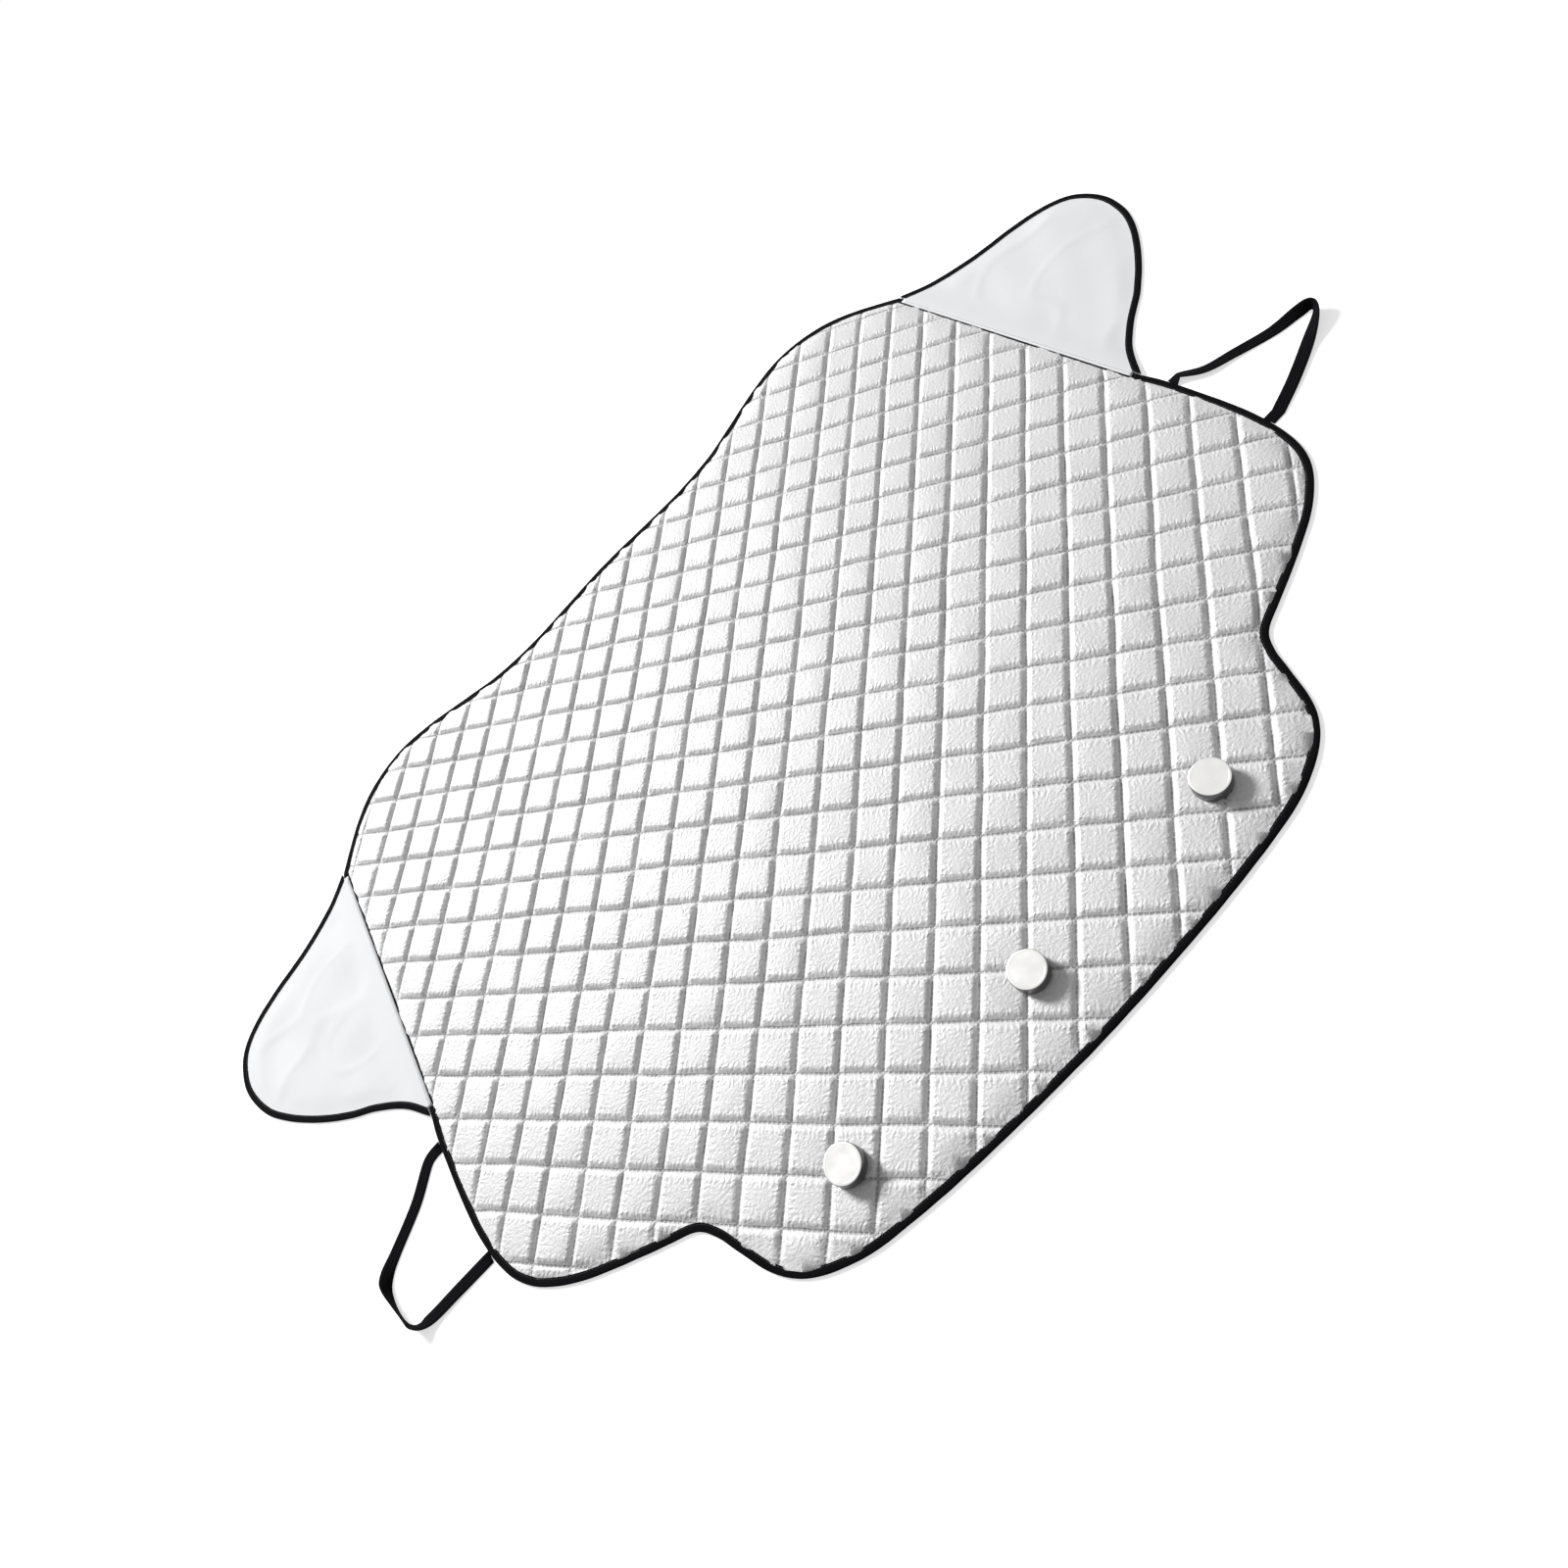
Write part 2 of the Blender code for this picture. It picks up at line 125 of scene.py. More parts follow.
# Where the pad tape's ends meet, from the wing root's lower end, and how much of a span stays open
TAPE_JOIN = (-0.02, 0.20)
TAPE_OPEN_SHARE = 1 / 30

STITCH_LENGTH = 0.0030
STITCH_WIDTH = 0.00085
STITCH_SINK = 0.0004
STITCH_STAND = 0.0001
TAPE_STITCH_INSET = 0.0018
TAPE_STITCH_PITCH = 0.0040
SEAM_STITCH_INSET = 0.0035
SEAM_STITCH_PITCH = 0.0042
SEAM_STITCH_END = 0.015

BAND_WIDTH = 0.018
BAND_THICKNESS = 0.0012
BAND_POINTS_PER_SPAN = 10
# Each loop's middle line, with the band's turn from lying flat in degrees
RIGHT_LOOP = (
    (0.735, 0.544, -26),
    (0.760, 0.519, -14),
    (0.800, 0.5025, -4),
    (0.850, 0.482, 4),
    (0.886, 0.472, 30),
    (0.902, 0.461, 78),
    (0.890, 0.447, 50),
    (0.850, 0.4275, 10),
    (0.795, 0.4045, 4),
    (0.746, 0.388, 0),
)
LEFT_LOOP = (
    (0.735, 0.546, 0),
    (0.751, 0.540, 2),
    (0.7895, 0.508, 2),
    (0.843, 0.477, 4),
    (0.863, 0.461, 30),
    (0.8705, 0.440, 80),
    (0.869, 0.412, 106),
    (0.863, 0.387, 104),
    (0.853, 0.372, 64),
    (0.834, 0.3672, 12),
    (0.785, 0.3675, 2),
    (0.742, 0.3675, 0),
)

MAGNET_DIAMETER = 0.048
MAGNET_RADIUS = MAGNET_DIAMETER / 2
MAGNET_HEIGHT = 0.018
MAGNET_BEVEL = 0.0016
MAGNET_BEVEL_MIDDLE = 0.0005
MAGNET_FACE_INSET = 0.0030
MAGNET_FACE_STEP = 0.0004
MAGNET_SIDES = 96
MAGNET_SPACING = 0.297
MAGNET_Y = 0.107
MAGNET_SEAT_Z = 0.0052

FLOOR_Z = -0.0004
RIM_LOW_Z = TAPE_THICKNESS + CLEARANCE
RIM_HIGH_Z = RIM_LOW_Z + RIM_THICKNESS
TAPE_TOP_Z = RIM_HIGH_Z + CLEARANCE + TAPE_THICKNESS
CLOTH_FLAT_Z = TAPE_THICKNESS + CLEARANCE
CLOTH_LAP_Z = TAPE_TOP_Z + CLEARANCE
TAPE_REACH = CLEARANCE + TAPE_THICKNESS
WING_TAPE_START = TAPE_REACH + WING_TAPE_GAP

# The photograph's view and light
CAMERA_PLACE = (-0.0045, -1.0290, 1.2678)
CAMERA_RIGHT = (0.6918, -0.5627, -0.4525)
CAMERA_BACK = (-0.0177, -0.6397, 0.7684)
CAMERA_LENS = 26.83
CAMERA_SHIFT = (-0.003, -0.042)
SKY_LEAN = (-0.30, 0.83, 0.05)
SKY_DIM = 0.08
SKY_BRIGHT = 0.30
LAMP_PLACE = (-2.7, 9.0, 5.3)
LAMP_SIZE = 2.9
LAMP_POWER = 1610
FLOOR_HALF_WIDTH = 4
FLOOR_TONE = (0.86, 0.86, 0.86, 1)
FLOOR_GLOW = 0.62
WHITE = (1, 1, 1, 1)


# Camera, light and floor


def set_camera():
    """The photograph's view: steeply down on the cover from over its lower edge, turned so that the
    cover runs from the lower left to the upper right."""
    data = bpy.data.cameras.new("camera")
    data.sensor_width = 36.0
    data.lens = CAMERA_LENS
    data.shift_x, data.shift_y = CAMERA_SHIFT
    camera = bpy.data.objects.new("camera", data)
    bpy.context.scene.collection.objects.link(camera)
    back = Vector(CAMERA_BACK).normalized()
    up = back.cross(Vector(CAMERA_RIGHT).normalized()).normalized()
    right = up.cross(back)
    turned = Matrix((right, up, back)).transposed().to_4x4()
    camera.matrix_world = Matrix.Translation(CAMERA_PLACE) @ turned
    data.clip_start = 0.05
    data.clip_end = 60
    bpy.context.scene.camera = camera


def add_nodes(tree, kind, values=None, **settings):
    """A node of that kind with its settings and its inputs' values or links."""
    made = tree.nodes.new(kind)
    for name, value in settings.items():
        setattr(made, name, value)
    for name, value in (values or {}).items():
        if isinstance(value, bpy.types.NodeSocket):
            tree.links.new(value, made.inputs[name])
        else:
            made.inputs[name].default_value = value
    return made


def seen_directly(tree):
    """1 for rays that look at the floor or background straight, by way of metal or through glass."""
    path = add_nodes(tree, "ShaderNodeLightPath").outputs
    mirrored_too = arithmetic(tree, "MAXIMUM", path["Is Camera Ray"], path["Is Glossy Ray"])
    return arithmetic(tree, "MAXIMUM", mirrored_too, path["Is Transmission Ray"])


def white_when_seen(tree, unseen, seen, output):
    """One shader lights the cover and the other is what the eye sees."""
    shaders = {1: unseen.outputs[0], 2: seen.outputs[0]}
    mixed = add_nodes(tree, "ShaderNodeMixShader", values={0: seen_directly(tree), **shaders})
    add_nodes(tree, output, values={"Surface": mixed.outputs[0]})


def set_world():
    """Soft studio light, brighter from beyond the cover's upper edge, on a white background."""
    world = bpy.data.worlds.new("studio")
    bpy.context.scene.world = world
    world.use_nodes = True
    tree = world.node_tree
    tree.nodes.clear()
    directions = {0: add_nodes(tree, "ShaderNodeTexCoord").outputs["Generated"], 1: SKY_LEAN}
    lean = add_nodes(tree, "ShaderNodeVectorMath", operation="DOT_PRODUCT", values=directions)
    level = remap(tree, lean.outputs["Value"], -0.60, 0.70, SKY_DIM, SKY_BRIGHT)
    light = add_nodes(tree, "ShaderNodeBackground", values={"Color": WHITE, "Strength": level})
    white = add_nodes(tree, "ShaderNodeBackground", values={"Color": WHITE, "Strength": 1.0})
    white_when_seen(tree, light, white, "ShaderNodeOutputWorld")


def set_lamp():
    """One large soft lamp beyond the upper edge."""
    data = bpy.data.lights.new("window_lamp", "AREA")
    data.size = LAMP_SIZE
    data.energy = LAMP_POWER
    lamp = bpy.data.objects.new("window_lamp", data)
    lamp.location = LAMP_PLACE
    lamp.rotation_mode = "QUATERNION"
    lamp.rotation_quaternion = (-Vector(LAMP_PLACE)).to_track_quat("-Z", "Y")
    bpy.context.scene.collection.objects.link(lamp)


def set_floor():
    """A plain floor that is white to the eye and still takes the shade of everything on it."""
    floor = bpy.data.materials.new("white_floor")
    floor.use_nodes = True
    tree = floor.node_tree
    tree.nodes.clear()
    lit = add_nodes(tree, "ShaderNodeBsdfDiffuse", values={"Color": FLOOR_TONE})
    glow = add_nodes(tree, "ShaderNodeEmission", values={"Color": WHITE, "Strength": FLOOR_GLOW})
    both = add_nodes(tree, "ShaderNodeAddShader", values={0: lit.outputs[0], 1: glow.outputs[0]})
    white_when_seen(tree, lit, both, "ShaderNodeOutputMaterial")
    body = bmesh.new()
    bmesh.ops.create_grid(body, x_segments=1, y_segments=1, size=FLOOR_HALF_WIDTH)
    bmesh.ops.translate(body, verts=body.verts, vec=(0, 0, FLOOR_Z))
    new_piece("studio_floor", body, floor)


# Plan geometry


def smooth_line(points, per_span=POINTS_PER_SPAN):
    """Points on a Catmull-Rom curve through the given ones."""
    known = np.array(points, float)
    padded = np.vstack([2 * known[0] - known[1], known, 2 * known[-1] - known[-2]])
    steps = np.arange(per_span)[:, None] / per_span
    spans = []
    for a, b, c, d in zip(padded, padded[1:], padded[2:], padded[3:]):
        spans.append(
            b
            + 0.5 * steps * (c - a)
            + steps**2 * (a - 2.5 * b + 2 * c - 0.5 * d)
            + 0.5 * steps**3 * (3 * b - a - 3 * c + d)
        )
    return np.vstack([*spans, known[-1:]])


def mirrored(points):
    """The same points on the other side of the middle."""
    return np.array(points) * (-1, 1)


def half_of(right_half):
    """A whole smooth edge from its right half, which begins or ends on the middle."""
    points = np.array(right_half, float)
    if abs(points[0, 0]) < abs(points[-1, 0]):
        return smooth_line(np.vstack([mirrored(points[:0:-1]), points]))
    return smooth_line(np.vstack([points, mirrored(points[-2::-1])]))


LOWER_LINE = half_of(LOWER_EDGE)
UPPER_LINE = half_of(UPPER_EDGE)
CENTRE = np.array((0.0, (LOWER_LINE[:, 1].min() + UPPER_LINE[:, 1].max()) / 2))


def pad_outline():
    """The pad's edge, anticlockwise from the left wing's lower corner."""
    share = np.arange(1, ROOT_LINE_STEPS)[:, None] / ROOT_LINE_STEPS
    right_root = LOWER_LINE[-1] + share * (UPPER_LINE[0] - LOWER_LINE[-1])
    return np.vstack([LOWER_LINE, right_root, UPPER_LINE, mirrored(right_root[::-1])]) - CENTRE


PAD_EDGE = pad_outline()


def side_normals(line, closed):
    """Unit normals to the right of the direction of travel."""
    spans = np.roll(line, -1, 0) - line
    if not closed:
        spans[-1] = spans[-2]
    spans = spans / np.linalg.norm(spans, axis=1)[:, None]
    before = np.roll(spans, 1, 0)
    if not closed:
        before[0] = spans[0]
    along = spans + before
    along /= np.linalg.norm(along, axis=1)[:, None]
    return np.c_[along[:, 1], -along[:, 0]]


def run_along(line):
    """Distance travelled at each point of a line."""
    return np.r_[0, np.cumsum(np.linalg.norm(np.diff(line, axis=0), axis=1))]


def edge_distance(line, points, closed=True):
    """Distance from each point to the line."""
    nearest = np.full(len(points), np.inf)
    following = np.roll(line, -1, 0) if closed else line[1:]
    for a, b in zip(line, following):
        r = b - a
        share = np.clip((points - a) @ r / (r @ r), 0, 1)
        gap = points - a - share[:, None] * r
        nearest = np.minimum(nearest, np.einsum("ij,ij->i", gap, gap))
    return np.sqrt(nearest)


def ease(low, high, value):
    """A soft step from 0 at low to 1 at high."""
    share = np.clip((value - low) / (high - low), 0, 1)
    return share * share * (3 - 2 * share)


def ripple(points, wavelength, seed):
    """Smooth irregular waves between about -1 and 1, the same on each run."""
    chance = np.random.default_rng(seed)
    total = np.zeros(len(points))
    for _ in range(WAVES_IN_RIPPLE):
        turn = chance.uniform(0, 2 * math.pi)
        number = 2 * math.pi / (wavelength * chance.uniform(0.6, 1.7))
        place = points[:, 0] * math.cos(turn) + points[:, 1] * math.sin(turn)
        total += np.sin(number * place + chance.uniform(0, 6.28))
    return total / (WAVES_IN_RIPPLE / 2)


# Mesh helpers


def new_piece(name, body, *finishes):
    """An object of that shape at the origin, in those materials."""
    mesh = bpy.data.meshes.new(name)
    body.to_mesh(mesh)
    body.free()
    piece = bpy.data.objects.new(name, mesh)
    bpy.context.scene.collection.objects.link(piece)
    for finish in finishes:
        mesh.materials.append(finish)
    mesh.shade_smooth()
    return piece


def dress(piece, slot, *nodes):
    """The piece stands for those CAD nodes; the slot is not used."""
    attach(piece, ROOT)
    if nodes:
        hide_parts(*nodes)
    return piece


def places_of(mesh):
    """Where the mesh's vertices are, as rows of x, y and z."""
    flat = np.empty(len(mesh.vertices) * 3, np.float32)
    mesh.vertices.foreach_get("co", flat)
    return flat.reshape(-1, 3).astype(float)


def write_map(mesh, name, values):
    """A UV map with one pair of values for each vertex."""
    layer = mesh.uv_layers.new(name=name)
    index = np.empty(len(mesh.loops), np.int32)
    mesh.loops.foreach_get("vertex_index", index)
    layer.data.foreach_set("uv", values[index].astype(np.float32).ravel())


def swept(name, rings, along, finish):
    """A strip whose cross-sections are the rings, closed at both ends. Its map runs along it in
    metres and round it from 0 to 1."""
    stations, round_it = rings.shape[:2]
    body = bmesh.new()
    bmesh.ops.create_grid(body, x_segments=stations - 1, y_segments=round_it, size=0.5)
    mesh = bpy.data.meshes.new(name)
    body.to_mesh(mesh)
    flat = places_of(mesh)
    station = np.rint((flat[:, 0] + 0.5) * (stations - 1)).astype(int)
    turn = np.rint((flat[:, 1] + 0.5) * round_it).astype(int)
    mesh.vertices.foreach_set("co", rings[station, turn % round_it].astype(np.float32).ravel())
    write_map(mesh, "strip", np.c_[along[station], turn / round_it])
    body.clear()
    body.from_mesh(mesh)
    bpy.data.meshes.remove(mesh)
    bmesh.ops.remove_doubles(body, verts=body.verts, dist=SAME_PLACE)
    bmesh.ops.holes_fill(body, edges=[edge for edge in body.edges if edge.is_boundary])
    bmesh.ops.recalc_face_normals(body, faces=body.faces)
    return new_piece(name, body, finish)


def stitch_row(name, places, headings, finish):
    """A row of sewn stitches, each a small bead of thread along its heading."""
    body = bmesh.new()
    scale = Matrix.Diagonal((STITCH_LENGTH / 2, STITCH_WIDTH / 2, STITCH_WIDTH / 2, 1))
    for place, heading in zip(places, headings):
        ahead = Vector(heading).normalized()
        across = Vector((0, 0, 1)).cross(ahead)
        turn = Matrix((ahead, across, ahead.cross(across))).transposed().to_4x4()
        stitch = Matrix.Translation(place) @ turn @ scale
        bmesh.ops.create_icosphere(body, subdivisions=1, radius=1, matrix=stitch)
    return new_piece(name, body, finish)


# Finishes

BLACK = (0.006, 0.006, 0.007)
# How fast the fine patterns wave, in radians a metre
WEAVE_RATE = 7000.0
RIB_RATE = 5200.0
MARK_RATE = 9000.0
# The film's welded dashes, also darkened with painted shade, and puckers along each quilting square, the
# puckers in radians
DASHES_PER_SQUARE = 9.0
PUCKER_RATE = 44.0


def principled(name):
    """A new material and its tree and shader."""
    made = bpy.data.materials.new(name)
    made.use_nodes = True
    tree = made.node_tree
    return made, tree, tree.nodes["Principled BSDF"]


def bump(tree, shader, height, distance, strength):
    """Relief from a pattern of heights, that many metres deep for each unit of it."""
    values = {"Strength": strength, "Distance": distance, "Height": height}
    made = add_nodes(tree, "ShaderNodeBump", values=values)
    tree.links.new(made.outputs["Normal"], shader.inputs["Normal"])


def arithmetic(tree, operation, a, b=None, c=None):
    """The result of that sum on numbers or sockets."""
    made = add_nodes(tree, "ShaderNodeMath", operation=operation)
    for index, value in enumerate((a, b, c)):
        if isinstance(value, bpy.types.NodeSocket):
            tree.links.new(value, made.inputs[index])
        elif value is not None:
            made.inputs[index].default_value = value
    return made.outputs[0]


def remap(tree, value, from_low, from_high, to_low, to_high, smooth=False):
    """The value carried from one range to another, straight or with soft ends, and kept inside it."""
    ends = {"From Min": from_low, "From Max": from_high, "To Min": to_low, "To Max": to_high}
    kind = "SMOOTHSTEP" if smooth else "LINEAR"
    made = add_nodes(tree, "ShaderNodeMapRange", interpolation_type=kind, values={"Value": value, **ends})
    return made.outputs["Result"]


def on_piece(tree):
    """The place on the piece, in metres."""
    return add_nodes(tree, "ShaderNodeTexCoord").outputs["Object"]


def first_two(tree, place):
    """The first two measures of a place."""
    return add_nodes(tree, "ShaderNodeSeparateXYZ", values={0: place}).outputs[:2]


def on_map(tree, name):
    """The place on the piece's own map of that name, as its two measures."""
    return first_two(tree, add_nodes(tree, "ShaderNodeUVMap", uv_map=name).outputs["UV"])


def wave(tree, value, rate):
    """A sine that turns through that many radians for each unit of the value."""
    return arithmetic(tree, "SINE", arithmetic(tree, "MULTIPLY", value, rate))


def two_tone(tree, share, dark, light):
    """The colour between two at that share. Each is a colour or another colour's socket."""
    made = add_nodes(tree, "ShaderNodeMix", data_type="RGBA", values={"Factor": share})
    first, second = (socket for socket in made.inputs if socket.type == "RGBA")
    for socket, colour in ((first, dark), (second, light)):
        if isinstance(colour, bpy.types.NodeSocket):
            tree.links.new(colour, socket)
        else:
            socket.default_value = (*colour, 1)
    return next(socket for socket in made.outputs if socket.type == "RGBA")


def noise(tree, place, scale, detail=3.0, roughness=0.5, **settings):
    """Irregular levels round the middle of 0 and 1, with about that many turns in a metre."""
    values = {"Vector": place, "Scale": scale, "Detail": detail, "Roughness": roughness}
    return add_nodes(tree, "ShaderNodeTexNoise", values=values, **settings).outputs[0]


def foil_finish():
    """Aluminised film over wadding: silver with a fine crinkle, welded in dashes in the valleys, with
    painted shade darkening the valley lines and dashes.
    """
    made, tree, shader = principled("quilted_foil_film")
    place = on_piece(tree)
    first, second = on_map(tree, "quilt")
    lines, dashes, puckers = [], [], []
    warp = noise(tree, place, 90.0, 2.0)
    stray = remap(tree, noise(tree, place, 60.0, 2.0), 0.0, 1.0, -0.020, 0.020)
    for across, along in ((first, second), (second, first)):
        off_line = arithmetic(tree, "PINGPONG", arithmetic(tree, "ADD", across, stray), 0.5)
        line = remap(tree, off_line, 0.012, 0.040, 1.0, 0.0, True)
        lines.append(line)
        off_dash = arithmetic(tree, "PINGPONG", arithmetic(tree, "MULTIPLY", along, DASHES_PER_SQUARE), 0.5)
        dash = remap(tree, off_dash, 0.10, 0.22, 0.0, 1.0, True)
        dashes.append(arithmetic(tree, "MULTIPLY", line, dash))
        slope_in = remap(tree, off_line, 0.03, 0.10, 0.0, 1.0, True)
        slope_out = remap(tree, off_line, 0.16, 0.36, 1.0, 0.0, True)
        slope = arithmetic(tree, "MULTIPLY", slope_in, slope_out)
        stray_run = arithmetic(tree, "MULTIPLY", warp, 16.0)
        run = arithmetic(tree, "MULTIPLY_ADD", along, PUCKER_RATE, stray_run)
        puckers.append(arithmetic(tree, "MULTIPLY", arithmetic(tree, "SINE", run), slope))
    dash_depth_and_shade = arithmetic(tree, "MAXIMUM", dashes[0], dashes[1])
    pucker = arithmetic(tree, "ADD", puckers[0], puckers[1])
    crinkle = noise(tree, place, 58.0, 5.0, 0.55, noise_type="RIDGED_MULTIFRACTAL")
    fine = noise(tree, place, 270.0, 3.0, 0.6)
    relief = arithmetic(tree, "MULTIPLY_ADD", crinkle, 0.42, arithmetic(tree, "MULTIPLY", pucker, 0.26))
    relief = arithmetic(tree, "MULTIPLY_ADD", fine, 1.5, relief)
    relief = arithmetic(tree, "MULTIPLY_ADD", dash_depth_and_shade, -0.9, relief)
    bump(tree, shader, relief, 0.0009, 0.75)
    cloud = noise(tree, place, 9.0, 3.0)
    speck = remap(tree, arithmetic(tree, "MULTIPLY_ADD", cloud, 0.3, fine), 0.45, 0.85, 0.0, 1.0)
    tint = two_tone(tree, speck, (0.76, 0.755, 0.76), (0.88, 0.878, 0.882))
    # Painted shade: the quilting lines and their dashes are mixed toward dark grey, darker in uneven
    # patches, for the shade that falls in the valleys.
    uneven_valley_shade = remap(tree, noise(tree, place, 42.0, 3.0), 0.38, 0.62, 0.02, 0.40, True)
    pressed = arithmetic(tree, "MULTIPLY", arithmetic(tree, "MAXIMUM", lines[0], lines[1]), uneven_valley_shade)
    pressed = arithmetic(tree, "MULTIPLY_ADD", dash_depth_and_shade, 0.26, pressed)
    film = two_tone(tree, pressed, tint, (0.17, 0.17, 0.175))
    tree.links.new(film, shader.inputs["Base Color"])
    tree.links.new(remap(tree, crinkle, 0.0, 1.2, 0.52, 0.66), shader.inputs["Roughness"])
    shader.inputs["Specular IOR Level"].default_value = 0.3
    shader.inputs["Metallic"].default_value = 0.10
    return made


def lining_finish():
    """Soft white lining on the back, pressed along the same lines as the foil."""
    made, tree, shader = principled("brushed_lining")
    place = on_piece(tree)
    fibre = noise(tree, place, 900.0, 3.0, 0.6)
    white = two_tone(tree, noise(tree, place, 14.0, 3.0), (0.70, 0.70, 0.69), (0.78, 0.78, 0.77))
    tree.links.new(white, shader.inputs["Base Color"])
    shader.inputs["Roughness"].default_value = 0.92
    shader.inputs["Sheen Weight"].default_value = 0.25
    bump(tree, shader, fibre, 0.0005, 0.6)
    return made


def wing_finish():
    """Plain silver-coated cloth with a fine weave."""
    made, tree, shader = principled("silver_coated_cloth")
    place = on_piece(tree)
    warp, weft = (wave(tree, measure, WEAVE_RATE) for measure in first_two(tree, place))
    weave = arithmetic(tree, "MULTIPLY", warp, weft)
    crease = noise(tree, place, 16.0, 4.0, 0.5, noise_type="RIDGED_MULTIFRACTAL")
    cloud = noise(tree, place, 7.0, 3.0)
    relief = arithmetic(tree, "MULTIPLY_ADD", weave, 0.03, crease)
    bump(tree, shader, relief, 0.0016, 0.35)
    silver = two_tone(tree, cloud, (0.90, 0.91, 0.925), (0.935, 0.94, 0.95))
    tree.links.new(silver, shader.inputs["Base Color"])
    tree.links.new(remap(tree, cloud, 0.3, 0.7, 0.70, 0.80), shader.inputs["Roughness"])
    shader.inputs["Specular IOR Level"].default_value = 0.18
    return made


def tape_finish(name, ribs, rib_depth):
    """Black woven tape with that many fine ribs round it, from the strip's own map."""
    made, tree, shader = principled(name)
    place = on_piece(tree)
    run, turn = on_map(tree, "strip")
    across = wave(tree, turn, ribs * 2 * math.pi)
    weave = arithmetic(tree, "MULTIPLY_ADD", wave(tree, run, RIB_RATE), 0.4, across)
    fuzz = noise(tree, place, 2600.0, 2.0)
    relief = arithmetic(tree, "MULTIPLY_ADD", fuzz, 0.8, weave)
    bump(tree, shader, relief, rib_depth, 0.8)
    cloud = noise(tree, place, 60.0, 4.0)
    dark = tuple(0.7 * part for part in BLACK)
    light = tuple(1.5 * part for part in BLACK)
    tree.links.new(two_tone(tree, cloud, dark, light), shader.inputs["Base Color"])
    shader.inputs["Roughness"].default_value = 0.9
    shader.inputs["Specular IOR Level"].default_value = 0.04
    return made


def thread_finish(name, tone):
    """Twisted sewing thread of that colour."""
    made, tree, shader = principled(name)
    twist = noise(tree, on_piece(tree), 1800.0, 1.0)
    dark = tuple(0.7 * part for part in tone)
    tree.links.new(two_tone(tree, twist, dark, tone), shader.inputs["Base Color"])
    shader.inputs["Roughness"].default_value = 0.6
    bump(tree, shader, twist, 0.0002, 0.5)
    return made


def nickel_finish():
    """Bright nickel plating with faint turning marks on the face and small scuffs, and its side painted
    dark as shade.
    """
    made, tree, shader = principled("bright_nickel")
    radius = on_map(tree, "disc")[0]
    marks = wave(tree, radius, MARK_RATE)
    scuff = noise(tree, on_piece(tree), 45.0, 4.0, 0.5)
    relief = arithmetic(tree, "MULTIPLY_ADD", marks, 0.12, scuff)
    bump(tree, shader, relief, 0.0001, 0.12)
    face = two_tone(tree, scuff, (0.74, 0.735, 0.725), (0.82, 0.815, 0.80))
    # Painted shade: the rim of the disc is coloured dark grey for the shade on its side.
    painted_side_shade = remap(tree, radius, MAGNET_RADIUS - 0.0012, MAGNET_RADIUS - 0.0004, 0.0, 1.0)
    plating = two_tone(tree, painted_side_shade, face, (0.16, 0.16, 0.165))
    tree.links.new(plating, shader.inputs["Base Color"])
    tree.links.new(remap(tree, scuff, 0.3, 0.7, 0.26, 0.36), shader.inputs["Roughness"])
    shader.inputs["Metallic"].default_value = 1.0
    return made


# Quilted pad

# Where the blank is cut across each quilting square, as shares of its pitch
SQUARE_LINES = (0.0, 0.025, 0.07, 0.12, 0.165, 0.50, 0.835, 0.88, 0.93, 0.975)
SQUARE_DIAGONAL = QUILT_PITCH * math.sqrt(2)
# The back of the blank stays this low until the pad is shaped
BACK_MARK_Z = -1.0
PAD_EDGE_INSET = 0.0006
TAPED_RIM = TAPE_LEG + 0.0006
PILLOW_SHOULDER = 0.118
PILLOW_LEAST = 0.88
PILLOW_MOST = 1.06
PILLOW_DRAWS = 80
CROWN_SHARE = 0.05
GROOVE_DEPTH = 0.0013
FOIL_SHIFT = 0.0011
FOIL_LIE_WIDE = 0.0005
FOIL_LIE_NARROW = 0.0003
VALLEY_FILL = 0.0003
MAGNET_DENT = MAGNET_RADIUS + 0.001
MAGNET_DENT_END = MAGNET_RADIUS + 0.011
MAGNET_DENT_Z = MAGNET_SEAT_Z - 0.0001


def magnet_centres():
    """Where the three magnets stand along the lower edge."""
    height = MAGNET_Y - CENTRE[1]
    return {"left": (-MAGNET_SPACING, height), "middle": (0.0, height), "right": (MAGNET_SPACING, height)}


def quilt_rise(cells):
    """Height of the pillows, 0 in the valleys and about 1 on top. The places are counted in
    quilting squares."""
    off_first, off_second = np.abs(cells - np.rint(cells)).T
    reach = PILLOW_SHOULDER * (1 + 0.2 * ripple(cells, 0.5, 12))
    shape = np.clip(off_first / reach, 0, 1) * np.clip(off_second / reach, 0, 1)
    crown = 4 * off_first * (1 - off_first) * 4 * off_second * (1 - off_second)
    draws = (PILLOW_DRAWS, PILLOW_DRAWS)
    chance = np.random.default_rng(5).uniform(PILLOW_LEAST, PILLOW_MOST, draws)
    index = np.floor(cells).astype(int) % PILLOW_DRAWS
    return ((1 - CROWN_SHARE) * shape + CROWN_SHARE * crown) * chance[index[:, 0], index[:, 1]]


def faces_of(result):
    """The faces in what a bmesh operator gives back."""
    return [item for item in result["geom"] if isinstance(item, bmesh.types.BMFace)]


